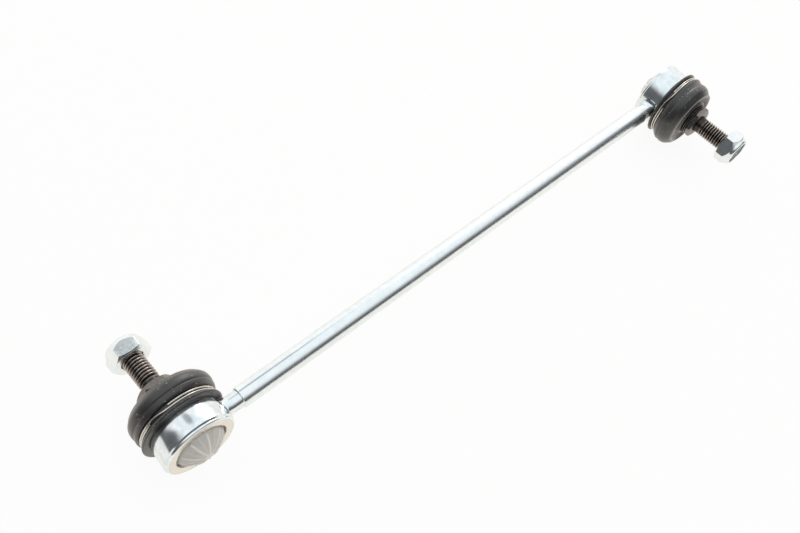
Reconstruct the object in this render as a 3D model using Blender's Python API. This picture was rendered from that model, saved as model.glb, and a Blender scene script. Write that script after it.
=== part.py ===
"""Stabilizer link: a straight round rod with a sealed ball joint at each end.

Metres, +Z up.  The origin lies midway between the two ball centres, on the
rod's axis.  +X runs along the rod, the near joint's stud points along +Y and
the far joint's stud along -Y, so the link has a half-turn symmetry about Z,
except that the near nut stands a little closer to its joint.
Each joint is modelled in its own frame: origin at the ball's centre, Y along
the stud, X towards the middle of the rod.
"""

import math

import bmesh
import bpy
from mathutils import Matrix, Vector

MM = 0.001

# Whole link
BALL_SPACING = 325.7 * MM      # between the two ball centres
FIT_GAP = 0.3 * MM             # clearance between pieces that touch in life
ROUND_STEPS = 32               # facets round the housings
BOOT_STEPS = 28
STUD_STEPS = 24

# Rod
ROD_RADIUS = 5.0 * MM
ROD_END_REACH = 24.0 * MM      # ball centre to the seam where rod and housing meet
ROD_EDGE = 0.5 * MM            # rounding of the rod's ends

# Housing: a forged cup with a short shank and a lower rim rolled in over the seat
BORE_RADIUS = 14.0 * MM
WALL_AT_RIM = 3.0 * MM
WALL_AT_TOP = 2.2 * MM
RIM_BOTTOM = -7.9 * MM
RIM_THICKNESS = 1.2 * MM
RIM_OPENING_RADIUS = 12.1 * MM
RIM_SHOULDER = 0.9 * MM        # rounding at the rolled rim's outer edge
RIM_GROOVE_HEIGHT = 1.35 * MM  # from the rim's face up to the rolling groove
RIM_GROOVE_DEPTH = 0.65 * MM
WALL_TOP = 4.0 * MM            # shoulder under the boot
GROOVE_WALL = 1.2 * MM         # wall left under the boot's bead
BEAD_HEIGHT = 4.6 * MM         # height of the groove that holds the boot's bead
FLANGE_HEIGHT = 1.6 * MM       # flange above the bead
THROAT_RADIUS = 10.2 * MM      # opening above the seat
THROAT_MOUTH = 11.4 * MM
SEAT_STOP_HEIGHT = 6.6 * MM    # inner shoulder that the seat is pressed against
SHANK_RADIUS = 4.15 * MM       # neck between housing and rod
BOSS_HALF_WIDTH = 8.2 * MM     # root of the shank, along Z, where it runs into the wall
BOSS_HALF_HEIGHT = 4.95 * MM   # the same along the stud: as high as the wall
BOSS_MIDDLE = -1.0 * MM
BOSS_START = 14.6 * MM         # ball centre to where the boss starts to narrow
BOSS_END = 19.6 * MM           # and to where it is a round neck

# Ball stud
BALL_RADIUS = 9.5 * MM
BALL_FLAT = 8.8 * MM           # distance of the flat under the ball
NECK_RADIUS = 4.6 * MM
BOOT_SEAT_RADIUS = 6.5 * MM    # smooth seat for the boot's narrow end
BOOT_SEAT_START = 17.5 * MM
COLLAR_START = 22.7 * MM
COLLAR_THICKNESS = 2.9 * MM
COLLAR_FLATS = 16.0 * MM       # across flats
COLLAR_CHAMFER = 0.7 * MM
THREAD_RADIUS = 4.95 * MM      # M10 with a pitch of 1.5
STUD_END = 50.0 * MM
STUD_CHAMFER = 1.0 * MM

# Ball seat: a plastic cup whose ribbed dome bulges out through the rolled rim
SEAT_GAP = FIT_GAP
DOME_APEX = 13.0 * MM          # below the ball's centre
DOME_BASE_RADIUS = 10.9 * MM   # where the dome passes the rim's face
DOME_RIBS = 9
RIB_TURN = math.radians(35.5)  # first rib, from X towards Z
RIB_WIDTH = 1.0 * MM
RIB_TOP_WIDTH = 0.6 * MM
RIB_HEIGHT = 0.35 * MM
DOME_HUB_RADIUS = 1.8 * MM
SEAT_LIP_HEIGHT = 4.7 * MM     # how far the seat wraps past the ball's equator

# Dust boot
BOOT_LIP_RADIUS = 19.4 * MM
BOOT_LIP_HEIGHT = 1.75 * MM
BOOT_GROOVE_WIDTH = 2.9 * MM
BOOT_BULGE_RADIUS = 20.2 * MM
BOOT_BULGE_HEIGHT = 3.9 * MM   # lower lobe, from the ring groove to the crease
CREASE_DEPTH = 0.4 * MM
BOOT_SHOULDER_RADIUS = 15.8 * MM
BOOT_SHOULDER_DROP = 2.2 * MM  # shoulder's rim below the boot's narrow end
BOOT_DISH_RADIUS = 11.9 * MM   # ring-shaped hollow between the shoulder and the neck
BOOT_DISH_DEPTH = 1.3 * MM
BOOT_WALL = 1.6 * MM
BOOT_NECK_WALL = 1.3 * MM
BOOT_NECK_RIM = 0.8 * MM

# Clamp rings
WIRE_RADIUS = 0.6 * MM
RING_TURNS = 1.91
RING_PITCH = 1.3 * MM
NEAR_RING_START = math.radians(133.0)  # where the wire starts, from X towards Z
FAR_RING_START = math.radians(58.0)
NECK_RING_RADIUS = 0.45 * MM

# Lock nut and its nylon insert
NUT_FLATS = 17.0 * MM          # across flats
NEAR_NUT_START = 41.6 * MM     # bearing face, from the ball's centre
FAR_NUT_START = 43.5 * MM
NUT_CORNER_HEIGHT = 5.8 * MM   # end of the hexagon's corners
NUT_CONE_HEIGHT = 8.2 * MM     # end of the cone that cuts them
NUT_HEIGHT = 9.4 * MM
NUT_COLLAR_RADIUS = 8.2 * MM
NUT_COLLAR_WALL = 0.9 * MM
NUT_LIP = 0.6 * MM             # crimped edge over the insert
NUT_COUNTERSINK = 0.65 * MM
INSERT_HEIGHT = 2.3 * MM

# Sizes that follow from the ones above
HOUSING_RADIUS_AT_RIM = BORE_RADIUS + WALL_AT_RIM
HOUSING_RADIUS_AT_TOP = BORE_RADIUS + WALL_AT_TOP
BEAD_SEAT_RADIUS = BORE_RADIUS + GROOVE_WALL
FLANGE_START = WALL_TOP + BEAD_HEIGHT
HOUSING_TOP = FLANGE_START + FLANGE_HEIGHT
RING_RADIUS = BOOT_LIP_RADIUS - 1.0 * MM
BOOT_BASE = WALL_TOP + FIT_GAP
BOOT_LIP_TOP = BOOT_BASE + BOOT_LIP_HEIGHT
GROOVE_TOP = BOOT_LIP_TOP + BOOT_GROOVE_WIDTH
CREASE_HEIGHT = GROOVE_TOP + BOOT_BULGE_HEIGHT
BOOT_TOP = COLLAR_START - FIT_GAP
BOOT_SHOULDER_HEIGHT = BOOT_TOP - BOOT_SHOULDER_DROP
NECK_OUTER = BOOT_SEAT_RADIUS + FIT_GAP + BOOT_NECK_WALL
NUT_BORE = THREAD_RADIUS + FIT_GAP


def clear_scene():
    for obj in list(bpy.data.objects):
        bpy.data.objects.remove(obj, do_unlink=True)


def srgb(value):
    """One sRGB channel, 0 to 1, as the linear value a shader expects."""
    if value <= 0.04045:
        return value / 12.92
    return ((value + 0.055) / 1.055) ** 2.4


def make_material(name, colour, roughness, metallic):
    material = bpy.data.materials.new(name)
    material.use_nodes = True
    shader = material.node_tree.nodes["Principled BSDF"]
    red, green, blue = (srgb(c / 255.0) for c in colour)
    shader.inputs["Base Color"].default_value = (red, green, blue, 1.0)
    shader.inputs["Roughness"].default_value = roughness
    shader.inputs["Metallic"].default_value = metallic
    material.diffuse_color = (red, green, blue, 1.0)
    return material


def mesh_from(bm, name, sharp_degrees=35.0):
    bmesh.ops.recalc_face_normals(bm, faces=bm.faces)
    mesh = bpy.data.meshes.new(name)
    bm.to_mesh(mesh)
    bm.free()
    mesh.shade_smooth()
    mesh.set_sharp_from_angle(angle=math.radians(sharp_degrees))
    return mesh


def turned(name, profile, steps, axis=Vector((0, 1, 0)), closed=True):
    """Turn a profile of (radius, height) points about an axis through the origin.

    A closed profile runs right round its section.  An open one starts and ends
    on the axis.
    """
    bm = bmesh.new()
    out = Vector((0, 0, 1)) if abs(axis.z) < 0.5 else Vector((1, 0, 0))
    verts = [bm.verts.new(out * r + axis * h) for r, h in profile]
    edges = [bm.edges.new(pair) for pair in zip(verts, verts[1:])]
    if closed:
        edges.append(bm.edges.new((verts[-1], verts[0])))
    bmesh.ops.spin(
        bm,
        geom=verts + edges,
        cent=Vector((0, 0, 0)),
        axis=axis,
        angle=2 * math.pi,
        steps=steps,
        use_merge=True,
    )
    bmesh.ops.remove_doubles(bm, verts=bm.verts, dist=1e-7)
    return mesh_from(bm, name)


def lofted(name, rings, start=None, end=None):
    """Join rings of equally many points, in order, and fan the ends shut."""
    bm = bmesh.new()
    loops = [[bm.verts.new(p) for p in ring] for ring in rings]
    count = len(loops[0])
    for low, high in zip(loops, loops[1:]):
        for i in range(count):
            j = (i + 1) % count
            bm.faces.new((low[i], low[j], high[j], high[i]))
    for tip, loop in ((start, loops[0]), (end, loops[-1])):
        if tip is None:
            bm.faces.new(loop)
            continue
        centre = bm.verts.new(tip)
        for i in range(count):
            bm.faces.new((loop[i], loop[(i + 1) % count], centre))
    return mesh_from(bm, name)


def arc(centre, radius, start_degrees, end_degrees, count):
    """Points (radius, height) on an arc, evenly spaced, both ends included."""
    points = []
    for i in range(count):
        angle = math.radians(
            start_degrees + (end_degrees - start_degrees) * i / (count - 1)
        )
        points.append(
            (centre[0] + radius * math.cos(angle), centre[1] + radius * math.sin(angle))
        )
    return points


def hex_prism(name, flats, low, high):
    """Hexagonal prism about Y with two of its flats facing +Z and -Z."""
    corner = flats / math.sqrt(3)
    rings = []
    for height in (low, high):
        angles = [math.radians(60 * i) for i in range(6)]
        rings.append(
            [(corner * math.cos(a), height, corner * math.sin(a)) for a in angles]
        )
    return lofted(name, rings)


def rod_mesh():
    half = BALL_SPACING / 2 - ROD_END_REACH - FIT_GAP / 2
    inner = ROD_RADIUS - ROD_EDGE
    profile = [
        (0, -half),
        (inner, -half),
        (ROD_RADIUS, -half + ROD_EDGE),
        (ROD_RADIUS, half - ROD_EDGE),
        (inner, half),
        (0, half),
    ]
    return turned("link_rod", profile, STUD_STEPS, Vector((1, 0, 0)), closed=False)


def housing_outside():
    groove = RIM_BOTTOM + RIM_GROOVE_HEIGHT
    rim_radius = HOUSING_RADIUS_AT_RIM - RIM_GROOVE_DEPTH + 0.15 * MM
    profile = [
        (0, RIM_BOTTOM),
        (rim_radius - 1.3 * RIM_SHOULDER, RIM_BOTTOM),
        (rim_radius - 0.4 * RIM_SHOULDER, RIM_BOTTOM + 0.35 * RIM_SHOULDER),
        (rim_radius, RIM_BOTTOM + RIM_SHOULDER),
        (HOUSING_RADIUS_AT_RIM - RIM_GROOVE_DEPTH, groove),
        (HOUSING_RADIUS_AT_RIM, groove + 0.5 * RIM_GROOVE_DEPTH),
        (HOUSING_RADIUS_AT_TOP, WALL_TOP),
        (BEAD_SEAT_RADIUS, WALL_TOP),
        (BEAD_SEAT_RADIUS, FLANGE_START),
        (HOUSING_RADIUS_AT_TOP, FLANGE_START + 0.2 * MM),
        (HOUSING_RADIUS_AT_TOP, HOUSING_TOP - 0.5 * MM),
        (HOUSING_RADIUS_AT_TOP - 0.5 * MM, HOUSING_TOP),
        (0, HOUSING_TOP),
    ]
    return turned("housing_outside", profile, ROUND_STEPS, closed=False)


def housing_cavity():
    rim_inside = RIM_BOTTOM + RIM_THICKNESS
    profile = [
        (0, RIM_BOTTOM - 2 * MM),
        (RIM_OPENING_RADIUS, RIM_BOTTOM - 2 * MM),
        (RIM_OPENING_RADIUS, rim_inside),
        (BORE_RADIUS, rim_inside),
        (BORE_RADIUS, SEAT_STOP_HEIGHT),
        (THROAT_RADIUS, SEAT_STOP_HEIGHT),
        (THROAT_MOUTH, HOUSING_TOP),
        (THROAT_MOUTH, HOUSING_TOP + 2 * MM),
        (0, HOUSING_TOP + 2 * MM),
    ]
    return turned("housing_cavity", profile, ROUND_STEPS, closed=False)


def shank_mesh():
    """Round neck that grows out of a nearly rectangular boss as high as the wall."""
    end = ROD_END_REACH - FIT_GAP / 2
    root = BORE_RADIUS - 2 * MM
    shares = [i / 5 for i in range(6)]
    stations = [(root, 0.0)]
    stations += [(BOSS_START + (BOSS_END - BOSS_START) * t, t) for t in shares]
    stations += [(end, 1.0)]
    rings = []
    for x, t in stations:
        boss = (1 - t) ** 2 * (1 + 0.6 * t)
        half_height = SHANK_RADIUS + (BOSS_HALF_HEIGHT - SHANK_RADIUS) * boss
        half_width = SHANK_RADIUS + (BOSS_HALF_WIDTH - SHANK_RADIUS) * boss
        ring = []
        for k in range(STUD_STEPS):
            a = 2 * math.pi * (k + 0.5) / STUD_STEPS
            y = math.copysign(abs(math.cos(a)) ** (1 - 0.55 * boss), math.cos(a))
            z = math.copysign(abs(math.sin(a)) ** (1 - 0.55 * boss), math.sin(a))
            ring.append((x, BOSS_MIDDLE * boss + half_height * y, half_width * z))
        rings.append(ring)
    return lofted("shank", rings)


def stud_turning():
    """Ball, neck, boot seat, collar core and thread, as one turned piece."""
    flat_angle = math.degrees(math.asin(-BALL_FLAT / BALL_RADIUS))
    neck_angle = math.degrees(math.acos(NECK_RADIUS / BALL_RADIUS))
    ball = arc((0, 0), BALL_RADIUS, flat_angle, neck_angle, 9)
    core = COLLAR_START + 0.5 * COLLAR_THICKNESS
    profile = [(0, -BALL_FLAT)] + ball
    profile += [
        (NECK_RADIUS, BOOT_SEAT_START - 3.5 * MM),
        (BOOT_SEAT_RADIUS, BOOT_SEAT_START),
        (BOOT_SEAT_RADIUS, core),
        (THREAD_RADIUS, core),
        (THREAD_RADIUS, STUD_END - STUD_CHAMFER),
        (THREAD_RADIUS - STUD_CHAMFER, STUD_END),
        (0, STUD_END),
    ]
    return turned("stud_turning", profile, STUD_STEPS, closed=False)


def collar_disc():
    corner = COLLAR_FLATS / math.sqrt(3) + 0.1 * MM
    top = COLLAR_START + COLLAR_THICKNESS
    profile = [
        (0, COLLAR_START),
        (corner - 2 * COLLAR_CHAMFER, COLLAR_START),
        (corner, COLLAR_START + COLLAR_CHAMFER),
        (corner, top - COLLAR_CHAMFER),
        (corner - 2 * COLLAR_CHAMFER, top),
        (0, top),
    ]
    return turned("collar_disc", profile, ROUND_STEPS, closed=False)


def dome_height(radius):
    """Outer face of the seat's spherical dome, below the ball's centre."""
    sagitta = DOME_APEX + RIM_BOTTOM
    curve = (DOME_BASE_RADIUS ** 2 + sagitta ** 2) / (2 * sagitta)
    return -DOME_APEX + curve - math.sqrt(curve ** 2 - radius ** 2)


def seat_mesh():
    """Ball seat: ribbed dome outside, flange under the rim, spherical pocket inside."""
    pocket = BALL_RADIUS + SEAT_GAP
    outer = BORE_RADIUS - SEAT_GAP
    flange = RIM_BOTTOM + RIM_THICKNESS + SEAT_GAP
    top = SEAT_STOP_HEIGHT - SEAT_GAP
    pitch = 2 * math.pi / DOME_RIBS

    def ribbed_ring(radius, height, lift):
        """Points at a rib's feet, its crest and the panel between two ribs."""
        ring = []
        foot = math.asin(min(0.95, 0.5 * RIB_WIDTH / radius))
        crest = math.asin(min(0.95, 0.5 * RIB_TOP_WIDTH / radius))
        for k in range(DOME_RIBS):
            for turn, raised in ((-foot, 0), (-crest, 1), (crest, 1), (foot, 0)):
                a = RIB_TURN + k * pitch + turn
                h = height - lift * raised
                ring.append((radius * math.cos(a), h, radius * math.sin(a)))
            a = RIB_TURN + (k + 0.5) * pitch
            ring.append((radius * math.cos(a), height, radius * math.sin(a)))
        return ring

    def plain_ring(radius, height):
        count = 5 * DOME_RIBS
        ring = []
        for k in range(count):
            a = RIB_TURN + 2 * math.pi * (k - 1.5) / count
            ring.append((radius * math.cos(a), height, radius * math.sin(a)))
        return ring

    hub_height = dome_height(DOME_HUB_RADIUS) - RIB_HEIGHT
    hub_foot = DOME_HUB_RADIUS + 0.25 * MM
    rings = [ribbed_ring(DOME_HUB_RADIUS, hub_height, 0)]
    rings.append(ribbed_ring(hub_foot, dome_height(hub_foot), RIB_HEIGHT))
    rib_end = DOME_BASE_RADIUS - 0.3 * MM
    for i in range(1, 3):
        radius = hub_foot + (rib_end - hub_foot) * i / 2
        rings.append(ribbed_ring(radius, dome_height(radius), RIB_HEIGHT))
    rings.append(ribbed_ring(DOME_BASE_RADIUS, RIM_BOTTOM, 0))
    rings.append(ribbed_ring(DOME_BASE_RADIUS + 0.4 * MM, flange, 0))
    rings.append(plain_ring(outer, flange))
    rings.append(plain_ring(outer, top))
    lip = math.sqrt(pocket ** 2 - SEAT_LIP_HEIGHT ** 2)
    rings.append(plain_ring(lip + 1.3 * MM, top))
    lip_angle = math.degrees(math.asin(SEAT_LIP_HEIGHT / pocket))
    for radius, height in arc((0, 0), pocket, lip_angle, -72, 5):
        rings.append(plain_ring(radius, height))
    return lofted(
        "ball_seat",
        rings,
        start=(0, dome_height(0) - RIB_HEIGHT, 0),
        end=(0, -pocket, 0),
    )


def boot_mesh():
    """Moulded boot: bead and lip, ring groove, two lobes, shoulder and neck."""
    bead = BEAD_SEAT_RADIUS + FIT_GAP
    bead_top = FLANGE_START - FIT_GAP
    groove = RING_RADIUS - WIRE_RADIUS - FIT_GAP
    bore = BOOT_SEAT_RADIUS + FIT_GAP
    neck_groove = BOOT_TOP - BOOT_NECK_RIM
    neck_floor = neck_groove - 2 * NECK_RING_RADIUS - FIT_GAP
    dish = BOOT_SHOULDER_HEIGHT - BOOT_DISH_DEPTH
    lobe = BOOT_BULGE_RADIUS
    outside = [
        (bead, BOOT_BASE + 0.1 * MM),
        (BOOT_LIP_RADIUS - 0.8 * MM, BOOT_BASE + 0.4 * MM),
        (BOOT_LIP_RADIUS, BOOT_BASE + 1.0 * MM),
        (BOOT_LIP_RADIUS - 0.1 * MM, BOOT_LIP_TOP - 0.15 * MM),
        (groove, BOOT_LIP_TOP),
        (groove, GROOVE_TOP),
        (lobe - 0.8 * MM, GROOVE_TOP + 0.25 * MM),
        (lobe - 0.15 * MM, GROOVE_TOP + 1.0 * MM),
        (lobe, GROOVE_TOP + 2.2 * MM),
        (lobe, CREASE_HEIGHT - 0.3 * MM),
        (lobe - CREASE_DEPTH, CREASE_HEIGHT),
        (lobe, CREASE_HEIGHT + 0.35 * MM),
        (lobe - 0.2 * MM, CREASE_HEIGHT + 1.9 * MM),
        (lobe - 1.6 * MM, CREASE_HEIGHT + 4.4 * MM),
        (BOOT_SHOULDER_RADIUS + 1.2 * MM, BOOT_SHOULDER_HEIGHT - 1.1 * MM),
        (BOOT_SHOULDER_RADIUS, BOOT_SHOULDER_HEIGHT),
        (BOOT_SHOULDER_RADIUS - 0.7 * MM, BOOT_SHOULDER_HEIGHT + 0.05 * MM),
        (BOOT_DISH_RADIUS + 1.2 * MM, dish),
        (BOOT_DISH_RADIUS - 1.0 * MM, dish),
        (NECK_OUTER + 1.6 * MM, neck_floor),
        (NECK_OUTER, neck_floor),
        (NECK_OUTER, neck_groove),
        (NECK_OUTER + 0.6 * MM, BOOT_TOP - 0.4 * MM),
        (NECK_OUTER + 0.4 * MM, BOOT_TOP),
        (bore, BOOT_TOP),
    ]
    inside = [
        (bore, dish - BOOT_WALL + 0.2 * MM),
        (BOOT_DISH_RADIUS + 1.0 * MM, dish - BOOT_WALL),
        (BOOT_SHOULDER_RADIUS - 1.0 * MM, BOOT_SHOULDER_HEIGHT - 1.4 * BOOT_WALL),
        (lobe - BOOT_WALL - 1.2 * MM, CREASE_HEIGHT + 3.2 * MM),
        (lobe - BOOT_WALL, CREASE_HEIGHT),
        (lobe - BOOT_WALL - 0.5 * MM, HOUSING_TOP),
        (HOUSING_RADIUS_AT_TOP + FIT_GAP, FLANGE_START + 0.3 * MM),
        (HOUSING_RADIUS_AT_TOP + FIT_GAP, bead_top),
        (bead, bead_top),
    ]
    return turned("dust_boot", outside + inside, BOOT_STEPS)


def clamp_ring_mesh():
    """Spring wire wound almost twice round the boot's lip groove.

    One turn lies on the housing's side of the groove and one on the stud's
    side.  The wire climbs from the first to the second where its two ends
    leave room for it.
    """
    middle = BOOT_LIP_TOP + BOOT_GROOVE_WIDTH / 2
    full = 2 * math.pi
    level = full * (RING_TURNS - 1)
    stations = [(level * i / 20, -0.5) for i in range(20)]
    stations += [(level, -0.5), (level + (full - level) / 3, -0.24)]
    stations += [(full - (full - level) / 3, 0.24), (full, 0.5)]
    stations += [(full + level * i / 20, 0.5) for i in range(1, 21)]
    sides = 6
    rings = []
    for a, climb in stations:
        height = middle + RING_PITCH * climb
        ring = []
        for k in range(sides):
            b = 2 * math.pi * (k + 0.5) / sides
            r = RING_RADIUS + WIRE_RADIUS * math.cos(b)
            h = height + WIRE_RADIUS * math.sin(b)
            ring.append((r * math.cos(a), h, r * math.sin(a)))
        rings.append(ring)
    return lofted("clamp_ring", rings)


def neck_ring_mesh():
    """Small closed ring in the groove at the boot's narrow end."""
    radius = NECK_OUTER + FIT_GAP + NECK_RING_RADIUS
    height = BOOT_TOP - BOOT_NECK_RIM - NECK_RING_RADIUS
    profile = arc((radius, height), NECK_RING_RADIUS, 0, 300, 6)
    return turned("neck_ring", profile, STUD_STEPS)


def nut_form():
    """The nut turned round, from its bearing face at height 0 to its crimped lip."""
    corner = NUT_FLATS / math.sqrt(3) + 0.1 * MM
    flat = NUT_FLATS / 2
    pocket = NUT_COLLAR_RADIUS - NUT_COLLAR_WALL
    insert_seat = NUT_HEIGHT - NUT_LIP - 2 * FIT_GAP - INSERT_HEIGHT
    profile = [
        (NUT_BORE + NUT_COUNTERSINK, 0),
        (flat - 0.3 * MM, 0),
        (corner, 0.4 * (corner - flat + 0.3 * MM)),
        (corner, NUT_CORNER_HEIGHT),
        (NUT_COLLAR_RADIUS, NUT_CONE_HEIGHT),
        (NUT_COLLAR_RADIUS - 0.25 * MM, NUT_HEIGHT - 0.45 * MM),
        (NUT_COLLAR_RADIUS - 0.8 * MM, NUT_HEIGHT),
        (pocket - 0.9 * MM, NUT_HEIGHT),
        (pocket - 0.9 * MM, NUT_HEIGHT - NUT_LIP),
        (pocket, NUT_HEIGHT - NUT_LIP),
        (pocket, insert_seat),
        (NUT_BORE, insert_seat),
        (NUT_BORE, NUT_COUNTERSINK),
    ]
    return turned("lock_nut", profile, STUD_STEPS)


def insert_mesh():
    outer = NUT_COLLAR_RADIUS - NUT_COLLAR_WALL - FIT_GAP
    high = NUT_HEIGHT - NUT_LIP - FIT_GAP
    low = high - INSERT_HEIGHT
    edge = 0.3 * MM
    profile = [
        (NUT_BORE, low),
        (outer, low),
        (outer, high - edge),
        (outer - edge, high),
        (NUT_BORE, high),
    ]
    return turned("nut_insert", profile, STUD_STEPS)


def place(name, mesh, parent, material):
    obj = bpy.data.objects.new(name, mesh)
    bpy.context.scene.collection.objects.link(obj)
    obj.parent = parent
    if material and not mesh.materials:
        mesh.materials.append(material)
    return obj


def guide(name, mesh, parent):
    """A shape that only cuts or joins another one."""
    obj = place(name, mesh, parent, None)
    obj.hide_render = True
    obj.display_type = "WIRE"
    return obj


def combine(obj, other, operation):
    modifier = obj.modifiers.new(operation.lower(), "BOOLEAN")
    modifier.operation = operation
    modifier.solver = "EXACT"
    modifier.object = other


def joint_centre(name, x, turn):
    empty = bpy.data.objects.new(name, None)
    bpy.context.scene.collection.objects.link(empty)
    empty.empty_display_size = 10 * MM
    empty.matrix_world = Matrix.Translation((x, 0, 0)) @ Matrix.Rotation(turn, 4, "Z")
    return empty


def build_joint(side, centre, ring_start, nut_start, meshes, materials):
    def piece(kind, material):
        return place(side + "_" + kind, meshes[kind], centre, materials[material])

    housing = piece("housing", "zinc")
    shank = guide(side + "_shank_form", meshes["shank"], centre)
    cavity = guide(side + "_cavity_form", meshes["cavity"], centre)
    combine(housing, shank, "UNION")
    combine(housing, cavity, "DIFFERENCE")

    piece("ball_seat", "seat")
    piece("dust_boot", "rubber")
    clamp = piece("boot_clamp_ring", "spring_wire")
    clamp.rotation_euler.y = -ring_start
    piece("boot_neck_ring", "spring_wire")

    stud = piece("ball_stud", "stud_steel")
    collar_hex = guide(side + "_collar_hex_form", meshes["collar_hex"], centre)
    turning = guide(side + "_stud_form", meshes["stud_turning"], centre)
    combine(stud, collar_hex, "INTERSECT")
    combine(stud, turning, "UNION")

    nut = piece("lock_nut", "blue_zinc")
    nut_hex = guide(side + "_nut_hex_form", meshes["nut_hex"], centre)
    combine(nut, nut_hex, "INTERSECT")
    insert = piece("nut_insert", "nylon")
    for obj in (nut, nut_hex, insert):
        obj.location.y = nut_start


def build():
    clear_scene()
    materials = {
        "zinc": make_material("zinc_plate", (226, 230, 232), 0.28, 1.0),
        "seat": make_material("seat_plastic", (190, 188, 184), 0.4, 0.0),
        "rubber": make_material("boot_rubber", (46, 43, 42), 0.55, 0.0),
        "spring_wire": make_material("spring_wire", (214, 212, 208), 0.22, 1.0),
        "stud_steel": make_material("phosphated_steel", (84, 76, 72), 0.45, 1.0),
        "blue_zinc": make_material("blue_zinc", (196, 207, 216), 0.3, 1.0),
        "nylon": make_material("insert_nylon", (222, 226, 228), 0.5, 0.0),
    }
    collar_end = COLLAR_START + COLLAR_THICKNESS
    meshes = {
        "housing": housing_outside(),
        "shank": shank_mesh(),
        "cavity": housing_cavity(),
        "ball_seat": seat_mesh(),
        "dust_boot": boot_mesh(),
        "boot_clamp_ring": clamp_ring_mesh(),
        "boot_neck_ring": neck_ring_mesh(),
        "ball_stud": collar_disc(),
        "collar_hex": hex_prism(
            "collar_hex", COLLAR_FLATS, COLLAR_START - MM, collar_end + MM
        ),
        "stud_turning": stud_turning(),
        "lock_nut": nut_form(),
        "nut_hex": hex_prism("nut_hex", NUT_FLATS, -MM, NUT_HEIGHT + MM),
        "nut_insert": insert_mesh(),
    }
    place("link_rod", rod_mesh(), None, materials["zinc"])
    near = joint_centre("near_joint_centre", -BALL_SPACING / 2, 0)
    far = joint_centre("far_joint_centre", BALL_SPACING / 2, math.pi)
    build_joint("near", near, NEAR_RING_START, NEAR_NUT_START, meshes, materials)
    build_joint("far", far, FAR_RING_START, FAR_NUT_START, meshes, materials)
    bpy.context.view_layer.update()


build()
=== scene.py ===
# %% [markdown]
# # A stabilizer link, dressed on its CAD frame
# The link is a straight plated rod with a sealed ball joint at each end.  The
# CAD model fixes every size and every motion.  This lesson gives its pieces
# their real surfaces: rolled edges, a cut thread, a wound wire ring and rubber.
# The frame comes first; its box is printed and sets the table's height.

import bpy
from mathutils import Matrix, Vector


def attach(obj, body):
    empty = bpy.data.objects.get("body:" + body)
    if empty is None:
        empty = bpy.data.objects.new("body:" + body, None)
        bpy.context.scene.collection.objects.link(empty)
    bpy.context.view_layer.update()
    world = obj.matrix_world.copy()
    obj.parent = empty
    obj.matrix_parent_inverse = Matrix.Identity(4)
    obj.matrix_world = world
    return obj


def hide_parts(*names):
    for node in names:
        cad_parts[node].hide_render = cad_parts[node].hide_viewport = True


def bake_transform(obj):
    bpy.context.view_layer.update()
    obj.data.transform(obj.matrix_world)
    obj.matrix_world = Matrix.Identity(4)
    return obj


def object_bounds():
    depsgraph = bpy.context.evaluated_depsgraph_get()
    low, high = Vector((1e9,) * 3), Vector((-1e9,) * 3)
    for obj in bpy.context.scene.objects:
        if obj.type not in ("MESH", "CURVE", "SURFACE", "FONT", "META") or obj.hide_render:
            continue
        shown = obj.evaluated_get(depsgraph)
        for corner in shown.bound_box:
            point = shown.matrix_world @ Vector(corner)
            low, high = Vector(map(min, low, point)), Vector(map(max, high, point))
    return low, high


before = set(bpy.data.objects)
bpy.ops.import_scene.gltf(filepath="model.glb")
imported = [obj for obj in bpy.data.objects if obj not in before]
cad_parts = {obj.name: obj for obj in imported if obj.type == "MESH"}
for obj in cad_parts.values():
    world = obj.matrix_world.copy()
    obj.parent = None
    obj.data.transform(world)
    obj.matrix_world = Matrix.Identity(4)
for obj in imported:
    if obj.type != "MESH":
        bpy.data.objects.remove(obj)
cad_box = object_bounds()
print("CAD box in mm:", [round(1000 * (high - low), 1) for low, high in zip(*cad_box)])

# %% Libraries
import math

import bmesh
import bpy
from mathutils import Matrix, Vector

# %% [markdown]
# ## Two joints, one description
# Both ends carry the same joint, turned half round.  So each piece is drawn
# once, in millimetres, in the joint's own frame: origin in the ball's centre, Y
# along the stud, X towards the middle of the rod.  A matrix then puts it in place.

# %% Where the two joints stand
MM = 0.001
BALL_SPACING = 325.7
JOINT_PLACES = {
    "near": Matrix.Translation((-BALL_SPACING / 2 * MM, 0, 0)),
    "far": Matrix.Translation((BALL_SPACING / 2 * MM, 0, 0)) @ Matrix.Rotation(math.pi, 4, "Z"),
}
for side, place in JOINT_PLACES.items():
    print(side, "ball centre:", [round(c, 4) for c in place.translation])

# %% [markdown]
# ## Lathe work
# Most pieces of a ball joint are turned or rolled, so they come from a lathe
# outline: a chain of points, each with a radius, a height and how much its corner is
# rounded.  Rounding the corners of the outline before it is spun is cheaper than
# bevelling the finished solid, and no corner can be missed.  The alternative, a Screw
# modifier, would keep the outline editable, but here the mesh must be final.

# %% Outline and lathe
def draw_outline(points, closed=True, rounding_steps=3):
    bm = bmesh.new()
    corners = [bm.verts.new((radius, height, 0)) for radius, height, _ in points]
    for start, end in zip(corners, corners[1:]):
        bm.edges.new((start, end))
    if closed:
        bm.edges.new((corners[-1], corners[0]))
    for rounding in sorted({row[2] for row in points if row[2] > 0}):
        chosen = [c for c, row in zip(corners, points) if row[2] == rounding]
        bmesh.ops.bevel(
            bm, geom=chosen, offset=rounding, offset_type="OFFSET", segments=rounding_steps,
            profile=0.5, affect="VERTICES", material=-1,
        )
    return bm


def turn_on_lathe(points, steps, closed=True, rounding_steps=3):
    bm = draw_outline(points, closed, rounding_steps)
    bmesh.ops.spin(
        bm, geom=bm.verts[:] + bm.edges[:], cent=(0, 0, 0), axis=(0, 1, 0), dvec=(0, 0, 0),
        angle=2 * math.pi, steps=steps, use_merge=True,
    )
    bmesh.ops.remove_doubles(bm, verts=bm.verts, dist=0.0005)
    bmesh.ops.recalc_face_normals(bm, faces=bm.faces)
    return bm


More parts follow.
